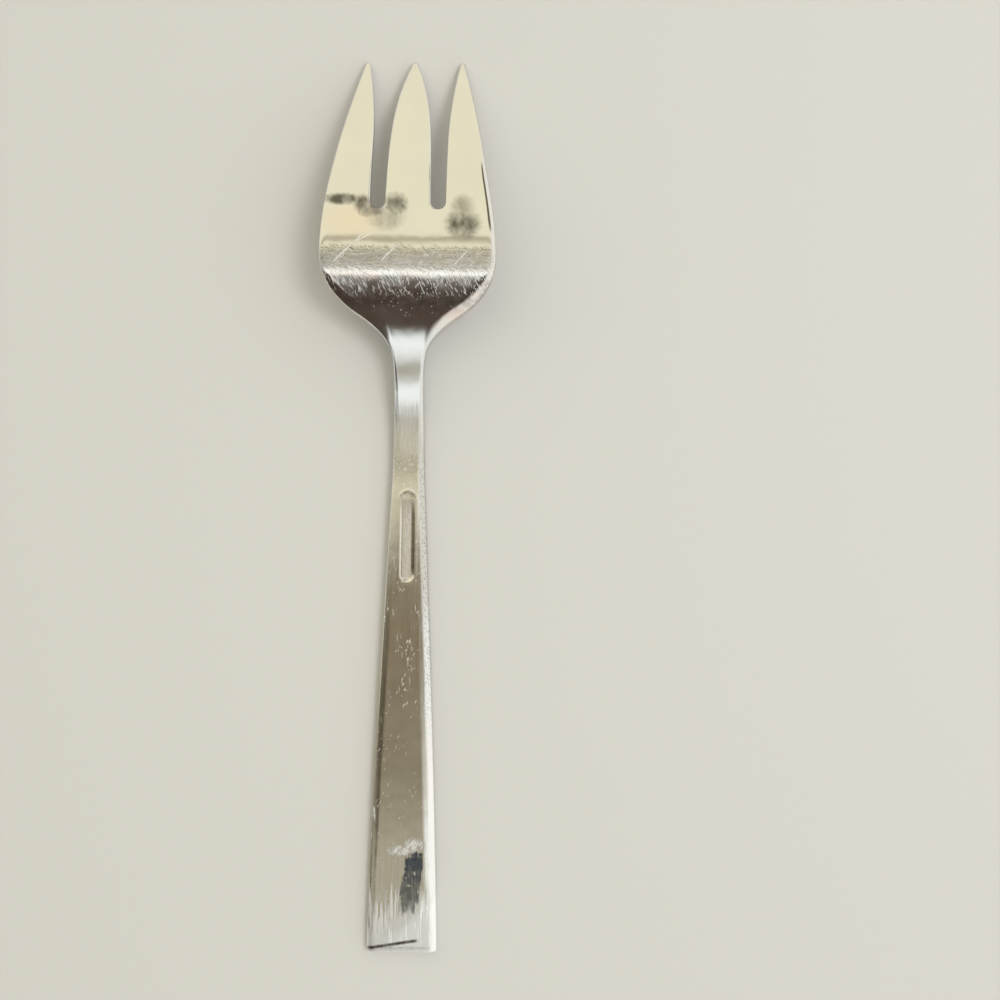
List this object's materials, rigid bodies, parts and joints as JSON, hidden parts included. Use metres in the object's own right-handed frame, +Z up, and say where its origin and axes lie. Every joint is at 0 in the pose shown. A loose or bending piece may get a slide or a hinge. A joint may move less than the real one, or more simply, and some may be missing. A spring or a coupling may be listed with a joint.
{
  "type": "cold meat fork",
  "caption": "Long-handled serving fork of polished steel, with broad pointed tines, a wide arched head, a narrow neck and a flat tapering handle, for lifting and serving sliced cold meat.",
  "frame": {"origin": "on the table under the middle of the fork's length and width, with the fork lying face down", "axes": "+Y from the handle's square end to the tine tips, +Z up through the fork's back, +X across"},
  "size_m": [0.0408, 0.216, 0.0152],
  "materials": {
    "polished_steel": "polished, with fine crossing scratches on the head and lengthwise wear and nicks on the handle"
  },
  "bodies": {
    "root": {"handle": "polished_steel", "neck": "polished_steel", "head": "polished_steel", "tine_left": "polished_steel", "tine_centre": "polished_steel", "tine_right": "polished_steel"}
  },
  "joints": []
}
